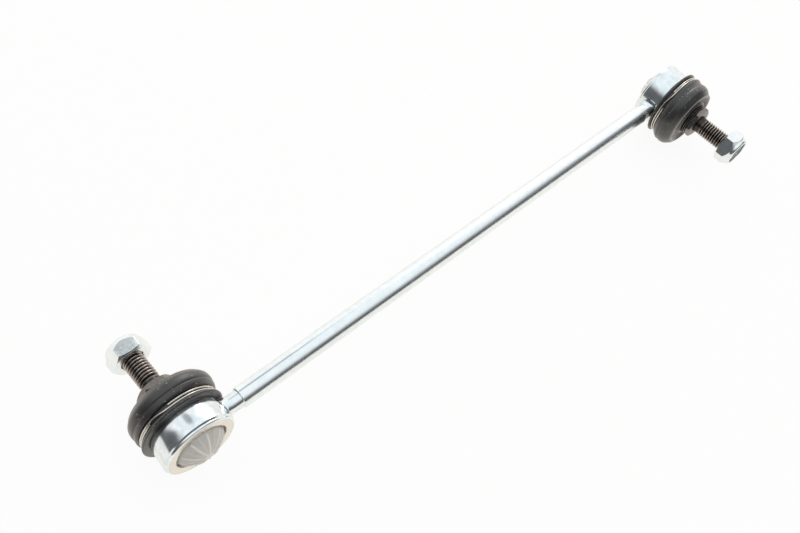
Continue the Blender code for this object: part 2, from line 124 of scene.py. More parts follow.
trial = turn_on_lathe([(1, 0, 0.1), (2, 0, 0.1), (2, 1, 0.1), (1, 1, 0.1)], 12)
print("trial washer:", len(trial.faces), "faces, first normal", trial.faces[0].normal.to_tuple(2))
trial.free()

# %% [markdown]
# ## Hexagons
# A nut starts as hexagonal bar and is then turned, so its chamfers are parts of
# a cone.  The same order works here: a lathe shape and a hexagonal bar are
# intersected, which gives the curved chamfer lines without drawing them.

# %% Hexagonal bar and boolean
def cut_hexagon_bar(across_flats, low, high, edge_rounding):
    bm = bmesh.new()
    corner = across_flats / math.sqrt(3)
    ring = bmesh.ops.create_circle(bm, cap_ends=True, segments=6, radius=corner)["verts"]
    bmesh.ops.rotate(bm, verts=ring, cent=(0, 0, 0), matrix=Matrix.Rotation(math.pi / 2, 3, "X"))
    bmesh.ops.rotate(bm, verts=ring, cent=(0, 0, 0), matrix=Matrix.Rotation(math.pi / 6, 3, "Y"))
    bmesh.ops.translate(bm, verts=ring, vec=(0, low, 0))
    top = bmesh.ops.extrude_face_region(bm, geom=bm.faces[:])["geom"]
    raised = [g for g in top if isinstance(g, bmesh.types.BMVert)]
    bmesh.ops.translate(bm, verts=raised, vec=(0, high - low, 0))
    upright = [e for e in bm.edges if abs(e.verts[0].co.y - e.verts[1].co.y) > 0.5 * (high - low)]
    bmesh.ops.bevel(
        bm, geom=upright, offset=edge_rounding, offset_type="OFFSET", segments=3,
        profile=0.5, affect="EDGES", material=-1,
    )
    bmesh.ops.recalc_face_normals(bm, faces=bm.faces)
    return bm


def join_or_cut(first, second, operation):
    holders = []
    for label, bm in (("first_shape", first), ("second_shape", second)):
        mesh = bpy.data.meshes.new(label)
        bm.to_mesh(mesh)
        bm.free()
        holders.append(bpy.data.objects.new(label, mesh))
        bpy.context.scene.collection.objects.link(holders[-1])
    step = holders[0].modifiers.new("cut", "BOOLEAN")
    step.operation = operation
    step.solver = "EXACT"
    step.object = holders[1]
    bpy.context.view_layer.update()
    finished = holders[0].evaluated_get(bpy.context.evaluated_depsgraph_get()).to_mesh()
    result = bmesh.new()
    result.from_mesh(finished)
    for holder in holders:
        bpy.data.objects.remove(holder, do_unlink=True)
    return result


# %% [markdown]
# ## Handing a piece over
# A finished piece keeps its object at the origin and has its place in its mesh,
# so its patterns are laid out in the link's own frame.  Edges sharper than a set
# angle stay crisp and the rest is shaded smoothly.

# %% Finish a piece
def finish_piece(name, bm, place, finish, nodes, crisp_degrees=32.0):
    bmesh.ops.scale(bm, vec=(MM, MM, MM), verts=bm.verts)
    bmesh.ops.transform(bm, matrix=place, verts=bm.verts)
    mesh = bpy.data.meshes.new(name)
    bm.to_mesh(mesh)
    bm.free()
    mesh.shade_smooth()
    mesh.set_sharp_from_angle(angle=math.radians(crisp_degrees))
    mesh.materials.append(finish)
    piece = bpy.data.objects.new(name, mesh)
    bpy.context.scene.collection.objects.link(piece)
    if nodes:
        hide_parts(*nodes)
    print(f"{name}: {len(mesh.polygons)} faces")
    return piece


# %% [markdown]
# ## Colours and nodes
# Colours are written as they look on a screen and turned linear once, here.  The
# one helper adds a node, sets it and links it, so each finish below reads as a
# list of what the surface has.  Pattern sizes are given in millimetres.

# %% Colour, scale and node helpers
def linear_colour(code):
    values = [int(code[i : i + 2], 16) / 255 for i in (1, 3, 5)]
    return (*[v / 12.92 if v <= 0.04045 else ((v + 0.055) / 1.055) ** 2.4 for v in values], 1.0)


def scale_for(size_mm):
    return 1.0 / (size_mm * MM)


def add_node(tree, kind, inputs=None, **settings):
    made = tree.nodes.new(kind)
    for key, value in settings.items():
        setattr(made, key, value)
    for key, value in (inputs or {}).items():
        if isinstance(value, bpy.types.NodeSocket):
            tree.links.new(value, made.inputs[key])
        else:
            made.inputs[key].default_value = value
    return made


def new_finish(name, **fixed):
    material = bpy.data.materials.new(name)
    material.use_nodes = True
    shader = material.node_tree.nodes["Principled BSDF"]
    for key, value in fixed.items():
        shader.inputs[key.replace("_", " ")].default_value = value
    return material, material.node_tree, shader


print("white is", linear_colour("#ffffff")[:3], "and a 2 mm pattern has scale", scale_for(2))

# %% [markdown]
# ## Bright zinc plate
# The rod and the housings are steel with clear zinc plating: a pale metal that
# mirrors the room softly.  The plating is cloudy over a few millimetres and its
# skin is faintly uneven, which breaks up a dark reflection.  Under it the tool's
# lines still show.  Real lines lie 0.05 to 0.1 mm apart, which no picture of this
# size can show, so they are drawn at 0.3 mm.  Lines run along the drawn rod and
# round the turned housings, so one recipe is stretched in two directions.  An
# attribute marks the face of the rolled rim, painted a darker cream with faint
# rings: the rings are turning marks, the darker cream is a painted reflection of
# the shadowed table below it.  Another marks the creases at the foot of the
# shank, which are painted dark grey as painted shade.

# %% Zinc on the drawn rod and on the turned housings
def zinc_finish(name, pale, deep, line_sizes, roughness_range, unevenness):
    material, tree, shader = new_finish(name, Metallic=1.0)
    place = add_node(tree, "ShaderNodeTexCoord").outputs["Object"]
    cloud = add_node(
        tree, "ShaderNodeTexNoise", {"Vector": place, "Scale": scale_for(3), "Detail": 3.0}
    )
    stretch = add_node(
        tree, "ShaderNodeMapping", {"Vector": place, "Scale": [scale_for(s) for s in line_sizes]}
    )
    lines = add_node(
        tree, "ShaderNodeTexNoise", {"Vector": stretch.outputs[0], "Scale": 1.0, "Detail": 2.0}
    )
    tone = add_node(
        tree, "ShaderNodeMapRange",
        {"Value": cloud.outputs["Fac"], "From Min": 0.35, "From Max": 0.65},
    )
    cloudy = add_node(
        tree, "ShaderNodeMix",
        {0: tone.outputs[0], 6: linear_colour(deep), 7: linear_colour(pale)}, data_type="RGBA",
    )
    # Painted reflection: the rim face is painted a darker cream for the shadowed table it mirrors;
    # its rings are turning marks.
    rolled = add_node(tree, "ShaderNodeAttribute", attribute_name="rolled").outputs["Fac"]
    colour = add_node(
        tree, "ShaderNodeMix", {0: rolled, 6: cloudy.outputs[2], 7: linear_colour("#e3d9cb")},
        data_type="RGBA",
    )
    # Painted shade: the creases marked by this attribute are painted dark grey.
    crease_shade = add_node(tree, "ShaderNodeAttribute", attribute_name="crease_shade").outputs["Fac"]
    crease_shaded = add_node(
        tree, "ShaderNodeMix", {0: crease_shade, 6: colour.outputs[2], 7: linear_colour("#4b4e4d")},
        data_type="RGBA",
    )
    tree.links.new(crease_shaded.outputs[2], shader.inputs["Base Color"])
    gloss = add_node(
        tree, "ShaderNodeMapRange",
        {"Value": lines.outputs["Fac"], "From Min": 0.3, "From Max": 0.7,
         "To Min": roughness_range[0], "To Max": roughness_range[1]},
    )
    tree.links.new(gloss.outputs[0], shader.inputs["Roughness"])
    tool_lines = add_node(
        tree, "ShaderNodeBump",
        {"Height": lines.outputs["Fac"], "Strength": 0.12, "Distance": 0.04 * MM},
    )
    skin = add_node(
        tree, "ShaderNodeBump",
        {"Height": cloud.outputs["Fac"], "Strength": 1.0, "Distance": unevenness * MM,
         "Normal": tool_lines.outputs[0]},
    )
    tree.links.new(skin.outputs[0], shader.inputs["Normal"])
    return material


drawn_zinc = zinc_finish(
    "bright_zinc_on_drawn_bar", "#f4f8f9", "#eaf0f2", (17, 0.3, 0.3), (0.18, 0.28), 0.02
)
turned_zinc = zinc_finish(
    "bright_zinc_on_turned_steel", "#f2f6f7", "#e0e8eb", (6, 0.3, 6), (0.13, 0.21), 0.025
)
print("two zinc finishes")

# %% [markdown]
# ## The rod
# It is 10 mm round bar, and its ends are slightly rounded where they meet the
# thinner shank of each housing.  That step shows as a dark ring.

# %% Turn the rod
ROD_RADIUS, ROD_EDGE = 5.0, 0.55
SEAM_REACH, SEAM_HALF = 24.0, 0.15
ROD_HALF = BALL_SPACING / 2 - SEAM_REACH - SEAM_HALF
rod_outline = [
    (0, -ROD_HALF, 0), (ROD_RADIUS, -ROD_HALF, ROD_EDGE), (ROD_RADIUS, ROD_HALF, ROD_EDGE),
    (0, ROD_HALF, 0),
]
rod = turn_on_lathe(rod_outline, 96, closed=False, rounding_steps=5)
bmesh.ops.rotate(rod, verts=rod.verts, cent=(0, 0, 0), matrix=Matrix.Rotation(-math.pi / 2, 3, "Z"))
rod_piece = finish_piece("rod", rod, Matrix(), drawn_zinc, ["link_rod"])
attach(rod_piece, "link")

# %% [markdown]
# ## The housings
# Each housing is a forged and turned cup.  Its lower rim is rolled in over the
# plastic seat: first a groove with a sloping wall, where the roller stopped, which
# mirrors the dark room as one wide line, then a bright rounded shoulder, a hairline
# and a flat pale face.  The shank grows out of the wall as a pad as high as the
# wall, and narrows to a round neck.  The cup is turned, the shank is lofted from
# bridged loops, and the two are joined.  Two creases, where the pad leaves the wall
# and where the neck begins, are painted dark as painted shade, far darker on the
# near joint.

# %% Outline of the cup
CUP_OUTLINE = [
    (12.1, -7.9, 0.15), (12.9, -7.9, 0), (13.7, -7.9, 0), (14.5, -7.9, 0), (15.28, -7.9, 0.05),
    (15.42, -7.74, 0.05), (15.56, -7.9, 0.05),
    (16.42, -7.9, 0.78), (16.42, -6.9, 0.06), (16.3, -6.72, 0.06), (17.0, -6.13, 0.12),
    (16.2, 4.0, 0.2), (15.2, 4.0, 0.1), (15.2, 8.6, 0.1),
    (16.2, 8.8, 0.1), (16.2, 10.2, 0.4), (11.4, 10.2, 0.2), (10.2, 6.6, 0.1),
    (14.0, 6.6, 0), (14.0, -6.7, 0.1), (12.1, -6.7, 0.1),
]
print("cup outline:", len(CUP_OUTLINE), "corners")


# %% Loft the shank
CREASE_REACH = 16.45
SHANK_RADIUS, PAD_HALF_HEIGHT = 4.15, 4.95
PAD_START, PAD_LENGTH = 14.6, 5.0
SHANK_WIDTHS = [
    (13.0, 6.35), (15.0, 6.35), (15.4, 6.2), (15.75, 5.8), (16.1, 5.0), (CREASE_REACH, 4.5),
    (16.8, 4.36), (17.3, 4.3), (17.8, 4.25), (18.4, 4.2), (19.0, 4.17), (19.6, SHANK_RADIUS),
    (SEAM_REACH + SEAM_HALF, SHANK_RADIUS),
]


def draw_shank():
    bm = bmesh.new()
    loops = []
    for reach, half_width in SHANK_WIDTHS:
        settled = min(1.0, max(0.0, (reach - PAD_START) / PAD_LENGTH))
        boss = (1 - settled) ** 2 * (1 + 0.6 * settled)
        half_height = SHANK_RADIUS + (PAD_HALF_HEIGHT - SHANK_RADIUS) * boss
        squareness = 1 - 0.55 * boss
        ring = bmesh.ops.create_circle(bm, cap_ends=False, segments=64, radius=1.0)["verts"]
        for v in ring:
            c, s = v.co.x, v.co.y
            v.co = (
                reach,
                half_height * math.copysign(abs(s) ** squareness, s) - boss,
                half_width * math.copysign(abs(c) ** squareness, c),
            )
        loops.append(ring)
    for first, second in zip(loops, loops[1:]):
        members = set(first) | set(second)
        rims = [e for e in bm.edges if len(e.link_faces) < 2 and members.issuperset(e.verts)]
        bmesh.ops.bridge_loops(bm, edges=rims)
    bmesh.ops.holes_fill(bm, edges=bm.edges, sides=0)
    bmesh.ops.recalc_face_normals(bm, faces=bm.faces)
    return bm


trial = draw_shank()
print("shank:", len(trial.faces), "faces")
trial.free()

# %% Join the shank to the cup
# How strong the painted shade in the creases is on each joint.
CREASE_SHADE = {"near": 1.0, "far": 0.2}
FACE_HEIGHT, FACE_RADIUS = -7.6, 15.6
WALL_TOP_RADIUS, WALL_TOP, WALL_FLARE, WALL_DROP = 16.2, 4.0, 0.8, 10.13
CORE_RADIUS, CORE_LOW, CORE_HIGH = 14.6, -6.0, 4.0
CORE_OUTLINE = [
    (0, CORE_LOW, 0), (CORE_RADIUS, CORE_LOW, 0), (CORE_RADIUS, CORE_HIGH, 0), (0, CORE_HIGH, 0)
]


def mark_housing(bm, crease_shade_share):
    rolled = bm.verts.layers.float.new("rolled")
    crease_shade = bm.verts.layers.float.new("crease_shade")
    for v in bm.verts:
        radius = math.hypot(v.co.x, v.co.z)
        # The rim face: painted reflection of the shadowed table, with rings from turning.
        if v.co.y < FACE_HEIGHT and radius < FACE_RADIUS:
            v[rolled] = 0.75 + 0.25 * math.cos(4 * radius)
        # The two creases at the foot of the shank get painted shade.
        wall_radius = WALL_TOP_RADIUS + WALL_FLARE * (WALL_TOP - v.co.y) / WALL_DROP
        on_wall = -0.05 < radius - wall_radius < 0.4 and 5.3 < abs(v.co.z) < 6.4
        on_neck = abs(v.co.x - CREASE_REACH) < 0.02 and abs(v.co.z) > 2.8
        if v.co.x > 14.0 and (on_wall or on_neck):
            v[crease_shade] = crease_shade_share


for side, place in JOINT_PLACES.items():
    cup = turn_on_lathe(CUP_OUTLINE, 128)
    core = turn_on_lathe(CORE_OUTLINE, 64, closed=False)
    shank = join_or_cut(draw_shank(), core, "DIFFERENCE")
    whole = join_or_cut(cup, shank, "UNION")
    mark_housing(whole, CREASE_SHADE[side])
    housing = finish_piece(
        side + "_cup", whole, place, turned_zinc, [side + "_housing"]
    )
    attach(housing, "link")

# %% [markdown]
# ## Natural acetal
# The seat is moulded from unfilled acetal: milky, slightly see-through, with a low
# sheen.  Where the wall is thick, at the ribs, light scattered through it makes it
# look nearly white.  The thin panels look greyer, because the greased ball shows
# through them, and the middle is paler again, where the plastic flowed in and is
# thickest.  Real scattering needs many samples to be smooth, so it is painted in:
# all tones are painted paler than the plastic itself, and a vertex attribute written
# with the ribs paints the ribs and the middle paler still, a painted glow.

# %% Acetal finish
seat_acetal, tree, shader = new_finish("natural_acetal_moulded", Roughness=0.34, IOR=1.48)
# Painted glow: ribs and the middle of the dome are painted paler for light scattered through the
# plastic.
scatter_glow_share = add_node(tree, "ShaderNodeAttribute", attribute_name="scatter_glow").outputs["Fac"]
place_in_part = add_node(tree, "ShaderNodeTexCoord").outputs["Object"]
milky = add_node(
    tree, "ShaderNodeTexNoise", {"Vector": place_in_part, "Scale": scale_for(4), "Detail": 3.0}
)
panel = add_node(
    tree, "ShaderNodeMix",
    {0: milky.outputs["Fac"], 6: linear_colour("#d3cbc4"), 7: linear_colour("#ece5de")},
    data_type="RGBA",
)
body_colour = add_node(
    tree, "ShaderNodeMix", {0: scatter_glow_share, 6: panel.outputs[2], 7: linear_colour("#fffbf4")},
    data_type="RGBA",
)
tree.links.new(body_colour.outputs[2], shader.inputs["Base Color"])
ripple = add_node(
    tree, "ShaderNodeBump", {"Height": milky.outputs["Fac"], "Strength": 0.1, "Distance": 0.1 * MM}
)
tree.links.new(ripple.outputs[0], shader.inputs["Normal"])
print("acetal finish")

# %% [markdown]
# ## The ribbed ball seat
# A dome bulges through the rolled rim, stiffened by nine ribs that run from a
# small hub, with a fainter and narrower rib halfway between each two.  The dome
# is spun finely and its skin is then pushed out along its normals, by an amount
# that falls off smoothly beside each rib.  That gives the moulded fillets at the
# foot of each rib, which separate rib bars would lack.

# %% Spin the seat and raise its ribs
DOME_APEX, DOME_BASE_RADIUS, RIM_BOTTOM = 13.0, 10.9, -7.9
RIB_COUNT, RIB_HEIGHT, HUB_RADIUS = 9, 0.35, 1.8
# How much painted glow the middle of the dome gets.
PAINTED_GLOW_MIDDLE = 0.45
RIB_TURN = math.radians(35.5)
dome_sagitta = DOME_APEX + RIM_BOTTOM
dome_radius = (DOME_BASE_RADIUS**2 + dome_sagitta**2) / (2 * dome_sagitta)
dome_centre = Vector((0, dome_radius - DOME_APEX, 0))


def fade(value, low, high):
    t = min(1.0, max(0.0, (value - low) / (high - low)))
    return t * t * (3 - 2 * t)


def rib_amount(point):
    radius = math.hypot(point.x, point.z)
    if point.y > RIM_BOTTOM + 0.2 or radius > DOME_BASE_RADIUS:
        return 0.0
    pitch = 2 * math.pi / RIB_COUNT
    amount = 1 - fade(radius, HUB_RADIUS - 0.1, HUB_RADIUS + 0.35)
    for shift, foot, crest, height in ((0.0, 0.75, 0.15, 1.0), (0.5, 0.55, 0.05, 0.35)):
        angle = math.atan2(point.z, point.x) - RIB_TURN - shift * pitch
        beside = radius * abs(math.sin(angle - pitch * round(angle / pitch)))
        amount = max(amount, height * (1 - fade(beside, crest, foot)))
    return amount * (1 - fade(radius, DOME_BASE_RADIUS - 0.5, DOME_BASE_RADIUS - 0.05))


def spin_seat():
    half_angle = math.asin(DOME_BASE_RADIUS / dome_radius)
    outline = []
    for i in range(37):
        a = half_angle * i / 36
        outline.append((dome_radius * math.sin(a), dome_centre.y - dome_radius * math.cos(a), 0))
    outline += [(11.3, -6.4, 0.1), (13.7, -6.4, 0.2), (13.7, 6.3, 0.3), (9.9, 6.3, 0.2)]
    pocket_radius, opening_height = 9.8, 4.7
    opening_angle = math.asin(opening_height / pocket_radius)
    for i in range(13):
        a = opening_angle - (opening_angle + math.pi / 2) * i / 12
        radius = pocket_radius * math.cos(a) if i < 12 else 0
        outline.append((radius, pocket_radius * math.sin(a), 0))
    bm = turn_on_lathe(outline, 360, closed=False)
    # The ribs and the middle carry the painted glow of scattered light.
    scatter_glow_layer = bm.verts.layers.float.new("scatter_glow")
    for v in bm.verts:
        amount = rib_amount(v.co)
        radius = math.hypot(v.co.x, v.co.z)
        middle = PAINTED_GLOW_MIDDLE * (1 - fade(radius, 2.5, 6.5)) * (v.co.y < RIM_BOTTOM)
        v[scatter_glow_layer] = max(amount, middle)
        if amount:
            v.co += (v.co - dome_centre).normalized() * RIB_HEIGHT * amount
    bm.normal_update()
    return bm


for side, place in JOINT_PLACES.items():
    seat = finish_piece(
        side + "_seat", spin_seat(), place, seat_acetal, [side + "_ball_seat"]
    )
    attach(seat, "link")

# %% [markdown]
# ## Boot rubber
# Moulded chloroprene rubber is dark, a little brown, and satin.  A film of wax
# blooms out of it, a coat that gives soft highlights where the boot curves away,
# and pale dust clings to it in specks of 0.2 to 0.4 mm.  Along its raised edge and
# on the inner slope of the dish the same pale tone is a painted highlight.
# The grain of the mould is finer than the picture, so it is drawn at half a
# millimetre.

# %% Rubber finish
boot_rubber, tree, shader = new_finish(
    "moulded_chloroprene_rubber", IOR=1.54, Sheen_Weight=0.3, Sheen_Roughness=0.35,
    Sheen_Tint=linear_colour("#e3c4b0"), Coat_Weight=0.9, Coat_Roughness=0.42, Coat_IOR=1.5,
)
place_in_part = add_node(tree, "ShaderNodeTexCoord").outputs["Object"]
bloom = add_node(
    tree, "ShaderNodeTexNoise", {"Vector": place_in_part, "Scale": scale_for(6), "Detail": 4.0}
)
rubber_tone = add_node(
    tree, "ShaderNodeMix",
    {0: bloom.outputs["Fac"], 6: linear_colour("#100e0d"), 7: linear_colour("#221e1c")},
    data_type="RGBA",
)
satin = add_node(
    tree, "ShaderNodeMapRange", {"Value": bloom.outputs["Fac"], "To Min": 0.34, "To Max": 0.52}
)
tree.links.new(satin.outputs[0], shader.inputs["Roughness"])
print("rubber tone")

# %% Dust, painted highlight and mould grain on the rubber
specks = add_node(tree, "ShaderNodeTexVoronoi", {"Vector": place_in_part, "Scale": scale_for(1.1)})
near_speck = add_node(
    tree, "ShaderNodeMapRange",
    {"Value": specks.outputs["Distance"], "From Min": 0.22, "From Max": 0.08},
)
patches = add_node(
    tree, "ShaderNodeTexNoise", {"Vector": place_in_part, "Scale": scale_for(2.4), "Detail": 1.0}
)
chosen = add_node(
    tree, "ShaderNodeMapRange", {"Value": patches.outputs["Fac"], "From Min": 0.54, "From Max": 0.6}
)
dust = add_node(
    tree, "ShaderNodeMath", {0: near_speck.outputs[0], 1: chosen.outputs[0]}, operation="MULTIPLY"
)
# Painted highlight: the raised edge and the dish inside it are painted pale where they catch the
# light; the specks above are real dust.
painted_edge_highlight = add_node(tree, "ShaderNodeAttribute", attribute_name="edge_highlight").outputs["Fac"]
dust_and_highlight_share = add_node(
    tree, "ShaderNodeMath", {0: dust.outputs[0], 1: painted_edge_highlight}, operation="MAXIMUM"
)
dust_and_highlight_tone = add_node(
    tree, "ShaderNodeMix",
    {0: dust_and_highlight_share.outputs[0], 6: rubber_tone.outputs[2], 7: linear_colour("#cfc6bd")},
    data_type="RGBA",
)
tree.links.new(dust_and_highlight_tone.outputs[2], shader.inputs["Base Color"])
grain = add_node(
    tree, "ShaderNodeTexNoise", {"Vector": place_in_part, "Scale": scale_for(0.5), "Detail": 2.0}
)
skin = add_node(
    tree, "ShaderNodeBump",
    {"Height": grain.outputs["Fac"], "Strength": 0.25, "Distance": 0.06 * MM},
)
tree.links.new(skin.outputs[0], shader.inputs["Normal"])
print("dust and grain")

# %% [markdown]
# ## The dust boots
# A boot is a hollow rubber bell: a bead in the housing's groove, a lip, a ring
# groove, two soft lobes and a shoulder with a thin raised edge.  Inside that edge
# the rubber dips into a ring-shaped dish before it climbs to the stud's neck.  No
# two boots settle alike: the near one is squeezed flatter than the far one, and the
# far one is less full and sags sideways.
# On the real link, when the stud swings, the bead stays and the narrow end follows.
# One piece can bend over one hinge only, and a ball joint has two swings, so the
# bell is spun in two pieces.  Here the bell is spun in two pieces that share a ring
# on the upper lobe; both stay where they are placed and are attached to no part.
# The inside opens towards the ball like a funnel, so that the leaning stud finds
# room at the full swing.

# %% Outlines of the boot
LOBE_BASE = 18.7


def lower_boot(crease, fullness, groove, lip):
    full = [
        (18.95, 9.15, 0.4), (19.6, 9.95, 0.4), (19.8, crease - 0.9, 0.3),
        (19.75, crease - 0.3, 0.1), (19.4, crease, 0.06), (19.85, crease + 0.35, 0.12),
        (20.2, crease + 1.2, 0.4), (20.1, 15.2, 0.5), (19.4, 16.35, 0.3),
    ]
    lobes = [
        (LOBE_BASE + fullness * (radius - LOBE_BASE), height, rounding)
        for radius, height, rounding in full
    ]
    return [
        (15.5, 4.42, 0.1), (lip - 0.6, 4.6, 0.25), (lip, 5.05, 0.25), (lip - 0.35, 5.98, 0.15),
        (groove, 6.05, 0.05), (groove, 8.95, 0.1),
        *lobes,
        (18.75, 16.9, 0), (17.3, 16.2, 0), (18.2, 14.6, 0.4), (18.3, 12.85, 0.5), (18.0, 10.2, 0.5),
        (16.5, 8.9, 0.2), (16.5, 8.3, 0.1), (15.5, 8.3, 0.1),
    ]


LOWER_BOOTS = {
    "near": lower_boot(12.0, 0.76, 17.5, 19.45),
    "far": lower_boot(12.85, 0.42, 17.2, 19.0),
}
SAGS = {"near": (0.5, 0.34), "far": (0.95, -0.88)}
NECK = [(8.1, 20.4, 0.1), (8.1, 21.6, 0.1), (8.75, 22.0, 0.2), (8.5, 22.4, 0.15), (6.8, 22.4, 0.1)]
FUNNEL = [(6.8, 21.2, 0.1), (8.5, 19.8, 0.1), (10.4, 18.9, 0.1), (12.6, 17.5, 0.1)]
UPPER_BOOTS = {
    "near": [
        (18.75, 16.9, 0), (17.7, 18.3, 0.5), (16.6, 19.0, 0.12), (15.9, 18.9, 0.25),
        (14.6, 18.1, 0.5), (13.4, 18.5, 0.5), (11.5, 20.45, 0.4), *NECK,
        *FUNNEL, (13.4, 16.8, 0.3), (15.4, 16.8, 0.4), (17.3, 16.2, 0),
    ],
    "far": [
        (18.75, 16.9, 0), (17.0, 19.1, 0.6), (15.8, 20.2, 0.12), (15.1, 20.2, 0.3),
        (13.3, 18.6, 0.6), (11.6, 18.6, 0.5), (10.0, 20.4, 0.2), *NECK,
        *FUNNEL, (13.2, 17.1, 0.2), (14.7, 17.9, 0.4), (17.3, 16.2, 0),
    ],
}
print("boot outlines:", {side: len(points) for side, points in UPPER_BOOTS.items()}, "corners")


def sag(bm, sideways):
    for v in bm.verts:
        share = fade(v.co.y, 8.9, 12.0) * (1 - fade(v.co.y, 19.2, 21.0))
        share *= fade(math.hypot(v.co.x, v.co.z), 12.0, 15.5)
        v.co.x += share * sideways[0]
        v.co.z += share * sideways[1]
    return bm


def spin_upper_boot(side):
    bm = turn_on_lathe(UPPER_BOOTS[side], 128, rounding_steps=4)
    edge_radius, edge_height = UPPER_BOOTS[side][2][:2]
    # The raised edge and the inner slope of the dish get a painted highlight.
    edge_highlight_layer = bm.verts.layers.float.new("edge_highlight")
    for v in bm.verts:
        radius = math.hypot(v.co.x, v.co.z)
        away = math.hypot(radius - edge_radius, v.co.y - edge_height)
        inner_slope_highlight = 0.42 * (1 - fade(away, 1.0, 3.2)) if radius < edge_radius else 0.0
        v[edge_highlight_layer] = max(0.5 * (1 - fade(away, 0.1, 0.45)), inner_slope_highlight)
    return bm


for side, place in JOINT_PLACES.items():
    lower_bell = sag(turn_on_lathe(LOWER_BOOTS[side], 128, rounding_steps=4), SAGS[side])
    lower = finish_piece(
        side + "_boot_lower", lower_bell, place, boot_rubber,
        [side + "_dust_boot"],
    )
    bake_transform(lower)
    upper = finish_piece(
        side + "_boot_upper", sag(spin_upper_boot(side), SAGS[side]), place, boot_rubber,
        [side + "_dust_boot"],
    )
    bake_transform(upper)

# %% [markdown]
# ## Spring wire
# Drawn spring steel, uncoated and bright, with a soft line along the wire.  The
# small ring at the boot's narrow end sits in grease and dust, so it is dark.

# %% Wire finishes
def wire_finish(name, dull, bright, roughness_range):
    material, tree, shader = new_finish(name, Metallic=1.0)
    place = add_node(tree, "ShaderNodeTexCoord").outputs["Object"]
    tarnish = add_node(
        tree, "ShaderNodeTexNoise", {"Vector": place, "Scale": scale_for(2), "Detail": 3.0}
    )
    tone = add_node(
        tree, "ShaderNodeMix",
        {0: tarnish.outputs["Fac"], 6: linear_colour(dull), 7: linear_colour(bright)},
        data_type="RGBA",
    )
    tree.links.new(tone.outputs[2], shader.inputs["Base Color"])
    smooth, rough = roughness_range
    gloss = add_node(
        tree, "ShaderNodeMapRange",
        {"Value": tarnish.outputs["Fac"], "To Min": smooth, "To Max": rough},
    )
    tree.links.new(gloss.outputs[0], shader.inputs["Roughness"])
    return material


bright_wire = wire_finish("bright_drawn_spring_wire", "#b9b3aa", "#e9e5de", (0.16, 0.28))
greasy_wire = wire_finish("greasy_spring_wire", "#3a3634", "#5c5754", (0.35, 0.5))
print("two wire finishes")

# %% [markdown]
# ## Clamp rings
# Almost two turns of 1 mm wire hold each boot's lip.  One turn lies on the
# housing's side of the groove, and the wire climbs to the other side where its
# ends leave a gap.  A spin whose steps also move along the axis makes the climb,
# so the wire is a chain of spins of one circle, each starting from the last ring.
# The first end leans on the second turn, and the wire moves away from it from there.

# %% Wind the clamp rings
WIRE_RADIUS, RING_MIDDLE, RING_PITCH, LEANING = 0.48, 7.5, 1.35, 0.33
RING_RADII = {"near": 18.05, "far": 17.75}
RING_TURNS = 1.91
RING_STARTS = {"near": math.radians(133.0), "far": math.radians(58.0)}
NECK_RING_RADIUS, NECK_RING_HEIGHT, NECK_WIRE_RADIUS = 8.85, 21.15, 0.45


def wind_clamp_ring(start_angle, ring_radius):
    bm = bmesh.new()
    ring = bmesh.ops.create_circle(bm, cap_ends=False, segments=12, radius=WIRE_RADIUS)["verts"]
    start_height = RING_MIDDLE - RING_PITCH / 2 + LEANING
    bmesh.ops.translate(bm, verts=ring, vec=(ring_radius, start_height, 0))
    level = 2 * math.pi * (RING_TURNS - 1)
    climb = 2 * math.pi - level
    last = ring + bm.edges[:]
    parts = [
        (0.2 * level, 20, -0.2 * LEANING), (0.2 * level, 20, -0.8 * LEANING), (0.6 * level, 60, 0.0)
    ]
    parts += [(climb / 4, 3, RING_PITCH * share) for share in (0.16, 0.34, 0.34, 0.16)]
    parts += [(level, 100, 0.0)]
    for angle, steps, rise in parts:
        last = bmesh.ops.spin(
            bm, geom=last, cent=(0, 0, 0), axis=(0, -1, 0), dvec=(0, rise / steps, 0),
            angle=angle, steps=steps, use_merge=False,
        )["geom_last"]
    bmesh.ops.holes_fill(bm, edges=bm.edges, sides=0)
    caps = [f for f in bm.faces if len(f.verts) > 4]
    rims = {e for f in caps for e in f.edges}
    bmesh.ops.bevel(
        bm, geom=list(rims), offset=0.12, offset_type="OFFSET", segments=2, profile=0.5,
        affect="EDGES", material=-1,
    )
    bmesh.ops.recalc_face_normals(bm, faces=bm.faces)
    bmesh.ops.rotate(
        bm, verts=bm.verts, cent=(0, 0, 0), matrix=Matrix.Rotation(-start_angle, 3, "Y")
    )
    return bm


for side, place in JOINT_PLACES.items():
    clamp = finish_piece(
        side + "_clamp_ring", wind_clamp_ring(RING_STARTS[side], RING_RADII[side]), place,
        bright_wire, [side + "_boot_clamp_ring"],
    )
    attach(clamp, "link")
    neck_outline = [
        (NECK_RING_RADIUS + NECK_WIRE_RADIUS * math.cos(math.pi * i / 6),
         NECK_RING_HEIGHT + NECK_WIRE_RADIUS * math.sin(math.pi * i / 6), 0)
        for i in range(12)
    ]
    neck_ring = finish_piece(
        side + "_neck_ring", turn_on_lathe(neck_outline, 96), place, greasy_wire,
        [side + "_boot_neck_ring"],
    )
    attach(neck_ring, side + "_neck")

# %% [markdown]
# ## Phosphated steel
# The stud is heat treated and phosphated, then oiled: a dark brown grey that
# still mirrors softly on the crests of the thread.  The roots are painted nearly
# black, partly for the oil they hold and partly as painted shade in the grooves.
# An attribute tells the finish how dark a point is painted.

# %% Stud finish
stud_phosphate, tree, shader = new_finish("oiled_phosphated_steel", Metallic=1.0)
